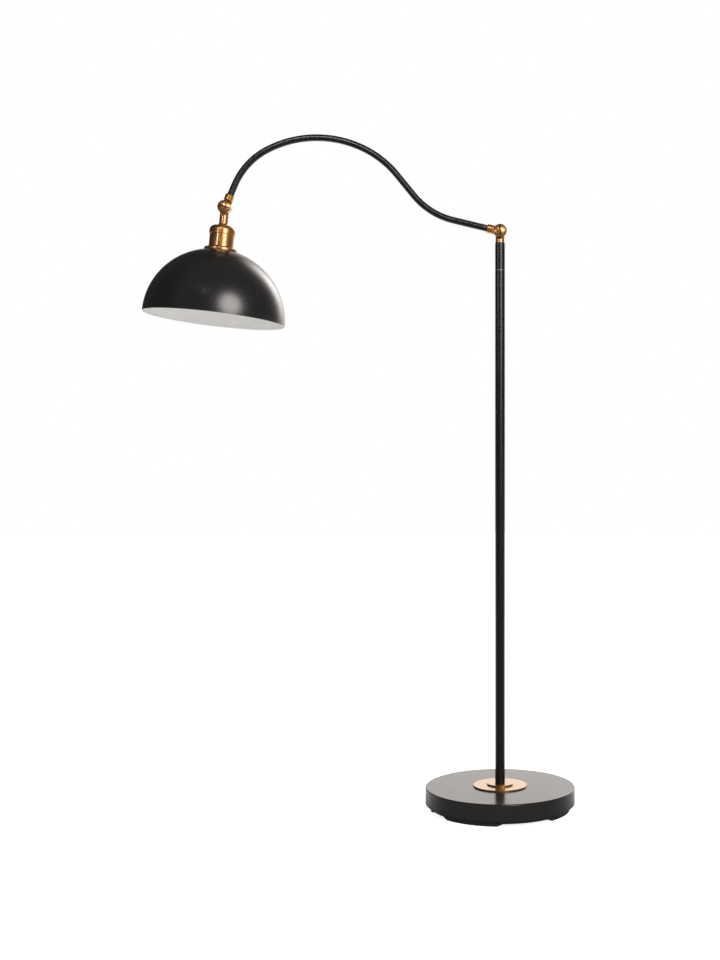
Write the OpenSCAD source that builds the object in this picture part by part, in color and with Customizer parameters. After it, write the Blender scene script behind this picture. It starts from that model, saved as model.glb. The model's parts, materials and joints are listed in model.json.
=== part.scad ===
// Bridge floor lamp: weighted round base, jointed pole, swivelling bow arm and tilting dome shade.
// Origin: on the floor under the centre of the pole. The arm reaches along -X, the viewer stands at -Y.

/* [Base] */
// Outer diameter of the base cover
base_d = 336; // [300:1:360]
// Height of the cover's side wall
cover_h = 36; // [34:0.5:60]
// Sheet thickness of the cover
cover_wall = 1.5; // [1:0.1:2]
// Radius of the cover's top edge
cover_edge_r = 2.5; // [2.5:0.1:6]
// Height of the cover's lower edge above the floor
cover_lift = 14; // [13:0.5:18]
// Diameter of the recessed base plate
plate_d = 315; // [280:1:316]
// Sheet thickness of the base plate
plate_wall = 1.5; // [1:0.1:2.5]
// Radius of the base plate's lower edge
plate_edge_r = 1; // [0.5:0.1:3]
// Access hole in the base plate, round the nut
plate_hole_d = 40; // [36:1:60]
// Thickness of the cast weight
weight_t = 10; // [6:0.5:12]
// Step from the cover's lower edge up to the weight
weight_step = 2; // [1:0.5:4]
// Diameter of the weight's centre boss
weight_boss_d = 56; // [30:1:100]

/* [Feet] */
// Height of the pads
foot_h = 5.5; // [4:0.5:8]
// Radial width of the pads
foot_w = 14; // [8:1:20]
// Inset of the pads from the base plate's edge
foot_inset = 1; // [1:0.5:6]
// Angle that each pad covers
foot_arc = 55; // [30:1:60]
// Run of the slanted pad ends
foot_ramp = 14; // [6:1:24]

/* [Base plate screws] */
// Diameter of the circle that the screws lie on
plate_screw_pcd = 240; // [180:1:270]
// Thread diameter
plate_screw_d = 5; // [3:0.5:6]
// Head diameter
plate_screw_head_d = 9; // [8:0.5:12]
// Head height
plate_screw_head_h = 2.5; // [1.5:0.1:3]
// Thread length, from under the head
plate_screw_l = 16; // [12:0.5:18]
// Wall of the cast bosses round the screws
screw_boss_wall = 5.5; // [3:0.5:8]

/* [Cord inlet] */
// Bore of the grommet
grommet_bore_d = 7; // [5:0.5:8]
// Neck diameter of the grommet
grommet_neck_d = 10.5; // [9:0.5:12]
// Flange diameter of the grommet
grommet_flange_d = 15; // [13.5:0.5:17]
// Thickness of each grommet flange
grommet_flange_t = 2; // [1:0.5:3]
// Distance of the cord hole in the weight from the centre
cord_hole_y = 100; // [60:1:130]
// Diameter of the cord hole in the weight
cord_hole_d = 12; // [9:0.5:16]

/* [Base fittings] */
// Diameter of the large brass disc
rosette_d = 121; // [80:1:160]
// Thickness of the large brass disc
rosette_t = 3; // [2:0.1:5]
// Diameter of the small brass disc under the pole
seat_ring_d = 59; // [40:1:70]
// Thickness of the small brass disc
seat_ring_t = 3.3; // [2:0.1:5]
// Edge radius of both brass discs
brass_edge_r = 0.8; // [0.3:0.1:1.5]
// Outer diameter of the hollow threaded tubes
nipple_d = 10; // [9.5:0.1:10.5]
// Bore of the hollow threaded tubes
nipple_bore_d = 7; // [5:0.5:7.5]
// Thickness of the base nut
base_nut_h = 5; // [4:0.5:5.5]
// Width of the base nut across its flats
base_nut_af = 17; // [15:1:22]
// Diameter of the base washer
base_washer_d = 28; // [24:1:34]
// Thickness of the base washer
base_washer_t = 1.5; // [1:0.1:2]

/* [Pole] */
// Outer diameter of the pole
pole_d = 22; // [21:0.5:25]
// Wall of the pole
pole_wall = 1.2; // [1:0.1:1.5]
// Length of the lower pole
lower_pole_l = 597; // [400:1:700]
// Length of the upper pole
upper_pole_l = 556; // [400:1:700]
// Chamfer round the ends of the poles
pole_chamfer = 0.4; // [0.2:0.1:0.6]
// Height of the threaded plug in the foot of the pole
pole_plug_h = 22; // [16:1:30]
// Length of the coupler inside the seam
coupler_l = 70; // [40:1:100]
// Wall of the coupler
coupler_wall = 2; // [1:0.1:3]

/* [Swivel] */
// Length of the swivelling tube
swivel_tube_l = 61.4; // [50:0.1:90]
// Thickness of the pale washer under it
swivel_washer_t = 0.8; // [0.5:0.1:1.5]
// Diameter of the spindle
spindle_d = 12; // [11:0.5:13]
// Bore of the spindle
spindle_bore_d = 8; // [6:0.5:9]
// Height of the bush in the upper pole
bush_h = 24; // [16:1:40]
// Length of the spindle's plug inside the swivel tube
spindle_plug_h = 20; // [12:1:24]
// Thickness of the swivel nut
swivel_nut_h = 6; // [4:0.5:8]
// Width of the swivel nut across its flats
swivel_nut_af = 15.5; // [14.5:0.5:15.5]

/* [Knuckles] */
// Diameter of the knuckle discs
knuckle_d = 29; // [27:0.5:30]
// Thickness of each knuckle half
knuckle_half_t = 8; // [6:0.5:8.5]
// Space between the two halves, filled by the friction washer
knuckle_gap = 1; // [0.6:0.1:1.5]
// Distance from the pivot to the near end of a stem or collar
stem_near = 16; // [15.5:0.1:18]
// Diameter of the brass necks
neck_d = 19.8; // [19:0.1:21]
// Diameter of the brass collars on the arm
collar_d = 20.5; // [19:0.1:22]
// Length of the brass collars
collar_l = 14; // [12:0.5:20]
// Depth of the arm tube's seat in a collar
collar_seat = 10; // [6:0.5:11]
// Radius of the near end of necks and collars
stem_edge_r = 3; // [1:0.1:4]
// Diameter of the wire bore through the knuckles
wire_bore_d = 7; // [5:0.5:7.5]
// Outer diameter of the wire chamber in each knuckle half
wire_chamber_d = 21; // [18:0.5:23]
// Chamfer round the edges of the discs
knuckle_chamfer = 0.6; // [0.3:0.1:1]
// Depth of the wire chamber in each knuckle half
wire_chamber_h = 4.5; // [3:0.5:5]
// Diameter of the hub that stays round the screw
knuckle_hub_d = 10; // [9:0.5:12]
// Length of the elbow neck's spigot in the swivel tube
neck_spigot_l = 16; // [10:1:24]

/* [Knuckle screws] */
// Head diameter of the slotted screws
cap_d = 30; // [24:0.5:30.5]
// Straight rim of the screw head
cap_rim_h = 2; // [1:0.1:4]
// Height of the dome on the screw head
cap_dome_h = 5; // [3:0.1:6]
// Width of the slot
slot_w = 2.8; // [1.5:0.1:4]
// Depth of the slot below the crown
slot_depth = 2.1; // [1:0.1:2.8]
// Shank diameter
knuckle_screw_d = 6; // [5:0.5:7]
// Angle of the elbow screw's slot from level
elbow_slot_angle = 96; // [0:1:180]
// Angle of the head screw's slot from level
head_slot_angle = -13; // [-90:1:90]
// Width of the knuckle nuts across their flats
knuckle_nut_af = 11; // [10:0.5:14]
// Thickness of the knuckle nuts
knuckle_nut_h = 5; // [4:0.5:7]
// Diameter of the spring washers under the screw heads
spring_washer_d = 17; // [14:0.5:24]
// Thickness of the spring washers
spring_washer_t = 0.6; // [0.4:0.1:1]
// Thickness of the friction washers between the halves
friction_washer_t = 0.8; // [0.5:0.1:0.9]

/* [Arm] */
// Height of the elbow pivot above the top of the swivel tube
elbow_rise = 26; // [26:0.1:34]
// Outer diameter of the arm tube
arm_d = 15; // [13:0.5:16]
// Wall of the arm tube
arm_wall = 1; // [0.8:0.1:1.5]
// Loss of diameter where the arm is bent
bend_draw = 0.3; // [0.25:0.05:0.5]
// Rise of the arm's first run above level
arm_start_angle = 13.5; // [5:0.5:25]
// Straight run from the elbow pivot to the first bend
run_start = 108.1; // [60:0.1:160]
// Radius of the lower bend
bend_low_r = 164; // [80:1:260]
// Angle of the lower bend
bend_low_angle = 37.2; // [20:0.1:50]
// Straight run between the bends
run_middle = 60.6; // [20:0.1:120]
// Radius of the bow on its rise
bow_rise_r = 221; // [150:1:300]
// Angle of the bow on its rise
bow_rise_angle = 23.3; // [10:0.1:40]
// Radius of the bow over its crown
bow_crown_r = 242; // [150:1:300]
// Angle of the bow over its crown
bow_crown_angle = 54.7; // [30:0.1:70]
// Radius of the bow on its fall
bow_fall_r = 158.7; // [100:0.1:250]
// Angle of the bow on its fall
bow_fall_angle = 39.5; // [20:0.1:60]
// Straight run from the bow to the head pivot
run_end = 56.7; // [40:0.1:90]

/* [Head] */
// Tilt of the head at rest, away from the pole
head_tilt = 5.6; // [0:0.1:15]
// Depth that the holder nipple screws into the neck
neck_thread_l = 10; // [6:0.5:12]
// Depth of the neck's lower end below the head pivot
neck_end = 36; // [30:0.5:44]
// Height of the cap from the neck to its lip
cap_h = 26; // [25:0.5:34]
// Outer diameter of the cap
cap_body_d = 58.6; // [56:0.2:64]
// Radius of the cap's domed shoulder
cap_shoulder_r = 9; // [7:0.5:10]
// Radius of the hollow flare between neck and shoulder
cap_flare_r = 6; // [4:0.5:7]
// Thickness of the cap's top
cap_top_t = 2.5; // [2:0.1:4]
// Wall of the cap and the cup
cup_wall = 1.3; // [1:0.1:1.6]
// Depth that the cup reaches up into the cap
cup_lap = 6; // [3:0.5:8]
// Height of the cup from the cap's lip to the flange
cup_h = 30.5; // [24:0.5:45]
// Radius of the cup's flared foot
cup_foot_r = 3; // [1:0.1:4]
// Diameter of the shade flange
flange_d = 74.5; // [66:0.5:80]
// Thickness of the shade flange
flange_t = 6.5; // [4:0.5:9]
// Radius of the shade flange's upper edge
flange_edge_r = 2.5; // [0.5:0.1:3.5]

/* [Shade] */
// Outer radius of the dome
shade_r = 158; // [120:1:170]
// Wall of the shade
shade_wall = 0.8; // [0.6:0.1:1.5]
// Radius of the flat seat at the top of the dome
shade_seat_r = 36; // [32:0.5:40]
// Height of the folded hem at the rim
hem_h = 4; // [2:0.5:8]
// Wall at the folded hem
hem_wall = 1.6; // [1.6:0.1:2.4]

/* [Lampholder] */
// Outer diameter of the ceramic body
holder_d = 40; // [38:0.5:42]
// Length of the body below the shade's seat
holder_drop = 26; // [20:0.5:40]
// Diameter of the boss at the top of the body
holder_boss_d = 20; // [16:0.5:20.5]
// Height of the boss at the top of the body
holder_boss_h = 6; // [5:0.5:10]
// Inner diameter of the bulb's screw shell
shell_d = 26.6; // [26.6:0.1:28]
// Sheet thickness of the screw shell
shell_t = 0.5; // [0.4:0.1:0.8]
// Length of the screw shell
shell_l = 24; // [18:0.5:28]
// Depth from the mouth of the body to the screw shell
shell_inset = 3; // [2:0.5:6]
// Ledge that the screw shell rests on
shell_ledge = 1.3; // [0.8:0.1:2]
// Space behind the screw shell, for the centre contact
contact_space = 7; // [6:0.5:12]
// Wire hole through the body
holder_wire_d = 6; // [4:0.5:8]
// Width of the centre contact's strip
contact_w = 6; // [4:0.5:8]
// Thickness of the centre contact's strip
contact_t = 0.8; // [0.5:0.1:1.2]
// Diameter of the terminal screw heads
terminal_head_d = 6; // [5:0.5:7]
// Height of the terminal screw heads
terminal_head_h = 2.5; // [1.5:0.1:3]
// Diameter of the terminal screws' threads
terminal_d = 3.5; // [2.5:0.5:4]
// Depth of the terminal screws in the body
terminal_l = 9; // [5:0.5:11]
// Outer diameter of the shade ring
shade_ring_d = 56; // [50:0.5:62]
// Height of the shade ring
shade_ring_h = 8; // [5:0.5:12]
// Notches round the shade ring
shade_ring_notches = 8; // [4:1:16]
// Width of each notch
shade_ring_notch_w = 5; // [3:0.5:8]

/* [Fits] */
// Radial clearance of parts that are pressed, screwed or brazed together
fixed_fit = 0.05; // [0.02:0.01:0.1]
// Radial clearance of parts that turn on each other
running_fit = 0.05; // [0.02:0.01:0.1]
// Clearance between faces that slide past each other
face_gap = 0.1; // [0.05:0.05:0.3]
// Clearance round parts that are dropped in loosely
loose_fit = 0.3; // [0.2:0.05:0.5]

/* [Hidden] */
$fn = 96;

// Colours, as the lamp's finishes look
black = [0.12, 0.11, 0.105];
brass = [0.74, 0.53, 0.31];
steel = [0.62, 0.63, 0.65];
iron = [0.25, 0.25, 0.26];
rubber = [0.06, 0.06, 0.06];
fibre = [0.55, 0.36, 0.22];
ceramic = [0.93, 0.92, 0.88];

// Small overshoot that makes a cut pass clean through
cut = 1;
// Length of thread that stands out of a nut
thread_reach = 1;
// Length that a bend of the arm laps into its neighbours
bend_lap = 1;
// Directions of the four pads, counted from the front, right-hand side positive
foot_angles = [-97.5, -25.5, 67.5, 160];

// Heights in the base
base_top = cover_lift + cover_h;
cover_under = base_top - cover_wall;
weight_z = cover_lift + weight_step;
plate_floor = foot_h + plate_wall;
rosette_top = base_top + rosette_t;
pole_z = rosette_top + seat_ring_t;
inlet_z = (weight_z + weight_t + cover_under) / 2;
weight_r = base_d / 2 - cover_wall - loose_fit;
washer_z = weight_z - base_washer_t;
base_nut_z = washer_z - base_nut_h;
pole_bore_r = pole_d / 2 - pole_wall;
plug_r = pole_bore_r - fixed_fit;

// Heights up the pole
seam_z = pole_z + lower_pole_l;
upper_top = seam_z + upper_pole_l;
washer_top = upper_top + swivel_washer_t;
swivel_z = washer_top + face_gap;
swivel_top = swivel_z + swivel_tube_l;
elbow_z = swivel_top + elbow_rise;

// Places across a knuckle, from its middle plane
half_y = knuckle_gap / 2;
half_end = half_y + knuckle_half_t;
cap_y = half_end + spring_washer_t + 2 * face_gap;
dome_r = (pow(cap_d / 2, 2) + pow(cap_dome_h, 2)) / (2 * cap_dome_h);
knuckle_bore_r = knuckle_screw_d / 2 + running_fit;
collar_end = stem_near + collar_l;
arm_inset = collar_end - collar_seat;

// Runs of the arm's centre line: [length, 0] is straight, [radius, angle] is a bend, left turns positive
arm_runs = [
  [run_start - arm_inset, 0],
  [bend_low_r, -bend_low_angle],
  [run_middle, 0],
  [bow_rise_r, bow_rise_angle],
  [bow_crown_r, bow_crown_angle],
  [bow_fall_r, bow_fall_angle],
  [run_end - arm_inset, 0]
];

// A place on the centre line is [x, z, heading]; headings turn from +X towards +Z
function ahead(p, l) = [p[0] + l * cos(p[2]), p[1] + l * sin(p[2]), p[2]];
function turned_by(p, r, a) = [
  p[0] + sign(a) * r * (sin(p[2] + a) - sin(p[2])),
  p[1] + sign(a) * r * (cos(p[2]) - cos(p[2] + a)),
  p[2] + a
];
function next_place(p, run) = run[1] == 0 ? ahead(p, run[0]) : turned_by(p, run[0], run[1]);
function arm_place(k) =
  k == 0 ? ahead(elbow_place, arm_inset) : next_place(arm_place(k - 1), arm_runs[k - 1]);
elbow_place = [0, elbow_z, 180 - arm_start_angle];
head_place = ahead(arm_place(len(arm_runs)), arm_inset);

// Depths in the head, below its pivot
cap_lip = neck_end + cap_h;
cup_top = cap_lip - cup_lap;
flange_top = cap_lip + cup_h;
seat_depth = flange_top + flange_t;
dome_depth = seat_depth + sqrt(pow(shade_r, 2) - pow(shade_seat_r, 2));
cup_r = cap_body_d / 2 - cup_wall - loose_fit;
shoulder_depth = neck_end + cap_flare_r;
cap_ceiling = shoulder_depth + cap_top_t;
cap_in_r = cup_r - cup_wall;
holder_top = cap_ceiling + holder_boss_h;
holder_mouth = seat_depth + holder_drop;
shell_bottom = holder_mouth - shell_inset;
shell_top = shell_bottom - shell_l;
cavity_top = shell_top - contact_space;
shell_r = shell_d / 2;
contact_r = shell_r - shell_ledge;
holder_hole_r = holder_d / 2 + fixed_fit;
terminal_r = (holder_boss_d + holder_d) / 4;

// Quarter of a rounded corner to take off a profile whose corner is at the origin
module corner_2d(r) {
  difference() {
    translate([-r, -r]) square(r + cut);
    translate([-r, -r]) circle(r);
  }
}

// Disc on z = 0 with a rounded upper edge
module round_disc(r, h, edge) {
  rotate_extrude() difference() {
    square([r, h]);
    translate([r, h]) corner_2d(edge);
  }
}

// Disc on z = 0 with small chamfers above and below
module turned_disc(r, h, c) {
  rotate_extrude() polygon([[0, 0], [r - c, 0], [r, c], [r, h - c], [r - c, h], [0, h]]);
}

// Ring on z = 0
module ring(outer_r, inner_r, h) {
  difference() {
    cylinder(r = outer_r, h = h);
    translate([0, 0, -cut]) cylinder(r = inner_r, h = h + 2 * cut);
  }
}

// Hexagonal nut on z = 0
module hex_nut(af, bore_r, h) {
  difference() {
    cylinder(r = af / 2 / cos(30), h = h, $fn = 6);
    translate([0, 0, -cut]) cylinder(r = bore_r, h = h + 2 * cut);
  }
}

// Tube on z = 0 with chamfered ends
module pole_tube(l) {
  difference() {
    turned_disc(pole_d / 2, l, pole_chamfer);
    translate([0, 0, -cut]) cylinder(r = pole_bore_r, h = l + 2 * cut);
  }
}

// Children at a place of the arm's centre line, with the way ahead along +X
module at_place(p) {
  translate([p[0], 0, p[1]]) rotate([0, -p[2], 0]) children();
}

// Children at the four base plate screws
module at_plate_screws() {
  for (k = [0:3]) rotate([0, 0, 45 + 90 * k]) translate([plate_screw_pcd / 2, 0, 0]) children();
}

// ---- Base ----

module base_cover() {
  color(black) difference() {
    translate([0, 0, cover_lift]) round_disc(base_d / 2, cover_h, cover_edge_r);
    translate([0, 0, cover_lift - cut])
      round_disc(base_d / 2 - cover_wall, cover_h - cover_wall + cut, cover_edge_r - cover_wall);
    cylinder(r = nipple_d / 2 + loose_fit, h = base_top + cut);
    translate([0, 0, inlet_z]) rotate([-90, 0, 0])
      cylinder(d = grommet_neck_d + 2 * fixed_fit, h = base_d);
  }
}

module base_weight() {
  color(iron) difference() {
    union() {
      translate([0, 0, weight_z]) turned_disc(weight_r, weight_t, cut);
      translate([0, 0, weight_z]) cylinder(d = weight_boss_d, h = cover_under - weight_z);
      at_plate_screws() translate([0, 0, plate_floor])
        cylinder(r = plate_screw_d / 2 + screw_boss_wall, h = weight_z - plate_floor + cut);
    }
    cylinder(r = nipple_d / 2 + loose_fit, h = base_top);
    at_plate_screws() translate([0, 0, plate_floor - cut])
      cylinder(r = plate_screw_d / 2 + fixed_fit, h = plate_screw_l + cut);
    translate([0, cord_hole_y, 0]) cylinder(d = cord_hole_d, h = base_top);
  }
}

module base_plate() {
  color(black) difference() {
    translate([0, 0, weight_z]) mirror([0, 0, 1])
      round_disc(plate_d / 2, weight_z - foot_h, plate_edge_r);
    translate([0, 0, plate_floor])
      cylinder(r = plate_d / 2 - plate_wall, h = weight_z - plate_floor + cut);
    cylinder(d = plate_hole_d, h = weight_z);
    at_plate_screws() cylinder(r = plate_screw_d / 2 + loose_fit, h = weight_z);
  }
}

module foot() {
  foot_r = plate_d / 2 - foot_inset;
  ramp_angle = atan(foot_h / foot_ramp);
  difference() {
    rotate([0, 0, -foot_arc / 2]) rotate_extrude(angle = foot_arc)
      translate([foot_r - foot_w, 0]) square([foot_w, foot_h]);
    for (end = [0, 1]) mirror([0, end, 0]) rotate([0, 0, foot_arc / 2])
      translate([foot_r - foot_w - 2 * cut, 0, foot_h]) rotate([ramp_angle, 0, 0])
        translate([0, -2 * foot_ramp, -2 * foot_h]) cube([foot_w + 4 * cut, 4 * foot_ramp, 2 * foot_h]);
  }
}

module feet() {
  color(rubber) for (a = foot_angles) rotate([0, 0, a - 90]) foot();
}

module plate_screws() {
  cross_w = 1.2;
  color(steel) at_plate_screws() difference() {
    union() {
      translate([0, 0, foot_h]) mirror([0, 0, 1])
        round_disc(plate_screw_head_d / 2, plate_screw_head_h, plate_screw_head_h / 2);
      translate([0, 0, foot_h]) cylinder(d = plate_screw_d, h = plate_screw_l);
    }
    for (a = [0, 90]) rotate([0, 0, a]) translate([0, 0, foot_h - plate_screw_head_h])
      cube([plate_screw_d, cross_w, plate_screw_head_h], center = true);
  }
}

module cord_grommet() {
  wall_out = base_d / 2;
  wall_in = sqrt(pow(wall_out - cover_wall, 2) - pow(grommet_flange_d / 2, 2));
  groove_end = wall_out + face_gap;
  groove_start = wall_in - face_gap;
  color(rubber) translate([0, 0, inlet_z]) rotate([-90, 0, 0]) difference() {
    union() {
      translate([0, 0, groove_start]) cylinder(d = grommet_neck_d, h = groove_end - groove_start);
      translate([0, 0, groove_end]) round_disc(grommet_flange_d / 2, grommet_flange_t, grommet_flange_t / 2);
      translate([0, 0, groove_start - grommet_flange_t]) cylinder(d = grommet_flange_d, h = grommet_flange_t);
    }
    translate([0, 0, groove_start - grommet_flange_t - cut])
      cylinder(d = grommet_bore_d, h = base_d);
  }
}

module base_rosette() {
  color(brass) translate([0, 0, base_top]) difference() {
    round_disc(rosette_d / 2, rosette_t, brass_edge_r);
    translate([0, 0, -cut]) cylinder(r = nipple_d / 2 + loose_fit, h = rosette_t + 2 * cut);
  }
}

module pole_seat_ring() {
  color(brass) translate([0, 0, rosette_top]) difference() {
    round_disc(seat_ring_d / 2, seat_ring_t, brass_edge_r);
    translate([0, 0, -cut]) cylinder(r = nipple_d / 2 + loose_fit, h = seat_ring_t + 2 * cut);
  }
}

module base_nipple() {
  color(steel) translate([0, 0, base_nut_z - thread_reach])
    ring(nipple_d / 2, nipple_bore_d / 2, pole_z + pole_plug_h - base_nut_z + thread_reach);
}

module base_washer() {
  color(steel) translate([0, 0, washer_z]) ring(base_washer_d / 2, nipple_d / 2 + loose_fit, base_washer_t);
}

module base_nut() {
  color(steel) translate([0, 0, base_nut_z]) hex_nut(base_nut_af, nipple_d / 2 + fixed_fit, base_nut_h);
}

// ---- Pole ----

module pole_plug() {
  color(steel) translate([0, 0, pole_z]) ring(plug_r, nipple_d / 2 + fixed_fit, pole_plug_h);
}

module lower_pole() {
  color(black) translate([0, 0, pole_z]) pole_tube(lower_pole_l);
}

module pole_coupler() {
  color(steel) translate([0, 0, seam_z - coupler_l / 2]) ring(plug_r, plug_r - coupler_wall, coupler_l);
}

module upper_pole() {
  color(black) translate([0, 0, seam_z]) pole_tube(upper_pole_l);
}

module swivel_bush() {
  color(brass) translate([0, 0, upper_top - bush_h]) ring(plug_r, spindle_d / 2 + running_fit, bush_h);
}

module swivel_washer() {
  color(steel) translate([0, 0, upper_top]) ring(pole_d / 2, spindle_d / 2 + loose_fit, swivel_washer_t);
}

// ---- Swivel ----

module swivel_spindle() {
  shaft_l = swivel_washer_t + face_gap + bush_h + face_gap + swivel_nut_h + thread_reach;
  color(steel) translate([0, 0, swivel_z]) difference() {
    union() {
      cylinder(r = plug_r, h = spindle_plug_h);
      translate([0, 0, -shaft_l]) cylinder(d = spindle_d, h = shaft_l + cut);
    }
    translate([0, 0, -shaft_l - cut]) cylinder(d = spindle_bore_d, h = shaft_l + spindle_plug_h + 2 * cut);
  }
}

module swivel_nut() {
  color(steel) translate([0, 0, upper_top - bush_h - face_gap - swivel_nut_h])
    hex_nut(swivel_nut_af, spindle_d / 2 + fixed_fit, swivel_nut_h);
}

module swivel_tube() {
  color(black) translate([0, 0, swivel_z]) pole_tube(swivel_tube_l);
}

// ---- Knuckles ----
// Each knuckle is drawn with its pivot at the origin and its screw along Y. A half lies on one side of
// the middle plane (side = 1 behind, -1 in front) and carries a stem below, round at its near end.

module knuckle_half(side, d, l) {
  tongue_l = stem_near + 2 * stem_edge_r;
  slab_y = side > 0 ? half_y : -half_end;
  outwards = side > 0 ? -90 : 90;
  difference() {
    union() {
      translate([0, slab_y + knuckle_half_t, 0]) rotate([90, 0, 0])
        turned_disc(knuckle_d / 2, knuckle_half_t, knuckle_chamfer);
      intersection() {
        translate([0, 0, -tongue_l]) cylinder(d = d, h = tongue_l);
        translate([-d, slab_y, -tongue_l]) cube([2 * d, knuckle_half_t, tongue_l]);
      }
      translate([0, 0, -stem_near - l]) round_disc(d / 2, l, stem_edge_r);
    }
    rotate([90, 0, 0]) cylinder(r = knuckle_bore_r, h = 4 * half_end, center = true);
    rotate([outwards, 0, 0]) difference() {
      cylinder(d = wire_chamber_d, h = half_y + wire_chamber_h);
      cylinder(d = knuckle_hub_d, h = half_y + wire_chamber_h + cut);
    }
    translate([0, 0, -stem_near - l - cut])
      cylinder(d = wire_bore_d, h = l + cut + stem_near - knuckle_hub_d / 2 - knuckle_chamfer);
  }
}

// Slotted screw with its domed head in front
module knuckle_screw(slot_angle) {
  reach = half_end + knuckle_nut_h + thread_reach;
  color(brass) rotate([90, 0, 0]) difference() {
    union() {
      translate([0, 0, cap_y]) cylinder(d = cap_d, h = cap_rim_h);
      intersection() {
        translate([0, 0, cap_y + cap_rim_h + cap_dome_h - dome_r]) sphere(dome_r);
        translate([0, 0, cap_y + cap_rim_h]) cylinder(d = cap_d, h = cap_dome_h + cut);
      }
      translate([0, 0, -reach]) cylinder(d = knuckle_screw_d, h = reach + cap_y + cut);
    }
    translate([0, 0, cap_y + cap_rim_h + cap_dome_h]) rotate([0, 0, slot_angle])
      cube([cap_d, slot_w, 2 * slot_depth], center = true);
  }
}

module knuckle_nut() {
  color(brass) translate([0, half_end, 0]) rotate([-90, 0, 0])
    hex_nut(knuckle_nut_af, knuckle_screw_d / 2 + fixed_fit, knuckle_nut_h);
}

module knuckle_spring_washer() {
  color(steel) translate([0, -half_end - face_gap, 0]) rotate([90, 0, 0])
    ring(spring_washer_d / 2, knuckle_bore_r, spring_washer_t);
}

module knuckle_friction_washer() {
  color(fibre) translate([0, friction_washer_t / 2, 0]) rotate([90, 0, 0])
    ring(knuckle_d / 2 - face_gap, wire_chamber_d / 2, friction_washer_t);
}

// Collar that holds the end of the arm tube
module arm_collar(side) {
  color(brass) difference() {
    knuckle_half(side, collar_d, collar_l);
    translate([0, 0, -collar_end - cut]) cylinder(r = arm_d / 2 + fixed_fit, h = collar_seat + cut);
  }
}

module at_elbow() {
  translate([0, 0, elbow_z]) children();
}

module elbow_neck() {
  neck_l = elbow_rise - stem_near;
  color(brass) at_elbow() {
    knuckle_half(1, neck_d, neck_l);
    translate([0, 0, -elbow_rise - neck_spigot_l]) ring(plug_r, wire_bore_d / 2, neck_spigot_l + cut);
  }
}

module elbow_screw() {
  at_elbow() knuckle_screw(elbow_slot_angle);
}

module elbow_nut() {
  at_elbow() knuckle_nut();
}

module elbow_spring_washer() {
  at_elbow() knuckle_spring_washer();
}

module elbow_friction_washer() {
  at_elbow() knuckle_friction_washer();
}

// ---- Arm ----

module elbow_collar() {
  at_place(elbow_place) rotate([0, -90, 0]) arm_collar(-1);
}

// One run of the centre line from the origin along +X, as a rod that starts and ends a little beyond it
module arm_run(run, d, before, after) {
  side = sign(run[1]);
  degrees_per_mm = 180 / PI / run[0];
  from_angle = side > 0 ? -90 - before * degrees_per_mm : 90 + run[1] - after * degrees_per_mm;
  if (side == 0) translate([-before, 0, 0]) rotate([0, 90, 0]) cylinder(d = d, h = run[0] + before + after);
  else translate([0, 0, side * run[0]]) rotate([90, 0, 0]) rotate([0, 0, from_angle])
    rotate_extrude(angle = abs(run[1]) + (before + after) * degrees_per_mm)
      translate([run[0], 0]) circle(d = d);
}

// Every second run is drawn down a little, as a tube is in its bends, and laps into its neighbours
module arm_rod(d, overrun) {
  last = len(arm_runs) - 1;
  for (k = [0:2:last]) at_place(arm_place(k))
    arm_run(arm_runs[k], d, k == 0 ? overrun : 0, k == last ? overrun : 0);
  for (k = [1:2:last]) at_place(arm_place(k)) arm_run(arm_runs[k], d - bend_draw, bend_lap, bend_lap);
}

module arm_tube() {
  color(black) difference() {
    arm_rod(arm_d, 0);
    arm_rod(arm_d - 2 * arm_wall, cut);
  }
}

module head_collar() {
  at_place(head_place) rotate([0, 90, 0]) arm_collar(1);
}

module at_head_joint() {
  translate([head_place[0], 0, head_place[1]]) children();
}

module head_screw() {
  at_head_joint() knuckle_screw(head_slot_angle);
}

module head_nut() {
  at_head_joint() knuckle_nut();
}

module head_spring_washer() {
  at_head_joint() knuckle_spring_washer();
}

module head_friction_washer() {
  at_head_joint() knuckle_friction_washer();
}

// ---- Head ----
// The head is drawn upside down, with its pivot at the origin and its depth along +Z.

module at_head() {
  at_head_joint() rotate([0, head_tilt, 0]) mirror([0, 0, 1]) children();
}

module head_neck() {
  color(brass) at_head() difference() {
    mirror([0, 0, 1]) knuckle_half(-1, neck_d, neck_end - stem_near);
    translate([0, 0, neck_end - neck_thread_l])
      cylinder(r = nipple_d / 2 + fixed_fit, h = neck_thread_l + cut);
  }
}

module holder_nipple() {
  color(steel) at_head() translate([0, 0, neck_end - neck_thread_l])
    ring(nipple_d / 2, nipple_bore_d / 2, holder_top - neck_end + neck_thread_l);
}

module socket_cap() {
  outer_r = cap_body_d / 2;
  lip_r = 1;
  color(brass) at_head() difference() {
    rotate_extrude() difference() {
      union() {
        translate([0, neck_end]) square([neck_d / 2 + cap_flare_r, cap_flare_r + cut]);
        translate([0, shoulder_depth]) square([outer_r, cap_lip - shoulder_depth]);
      }
      translate([neck_d / 2 + cap_flare_r, neck_end]) circle(cap_flare_r);
      translate([outer_r, shoulder_depth]) mirror([0, 1]) corner_2d(cap_shoulder_r);
      translate([outer_r, cap_lip]) corner_2d(lip_r);
    }
    translate([0, 0, cap_lip + cut]) mirror([0, 0, 1])
      round_disc(cap_in_r, cap_lip + cut - cap_ceiling, cap_shoulder_r - cup_wall);
    translate([0, 0, cup_top]) cylinder(r = cup_r + loose_fit, h = cup_lap + cut);
    cylinder(r = nipple_d / 2 + loose_fit, h = cap_ceiling + cut);
  }
}

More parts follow.
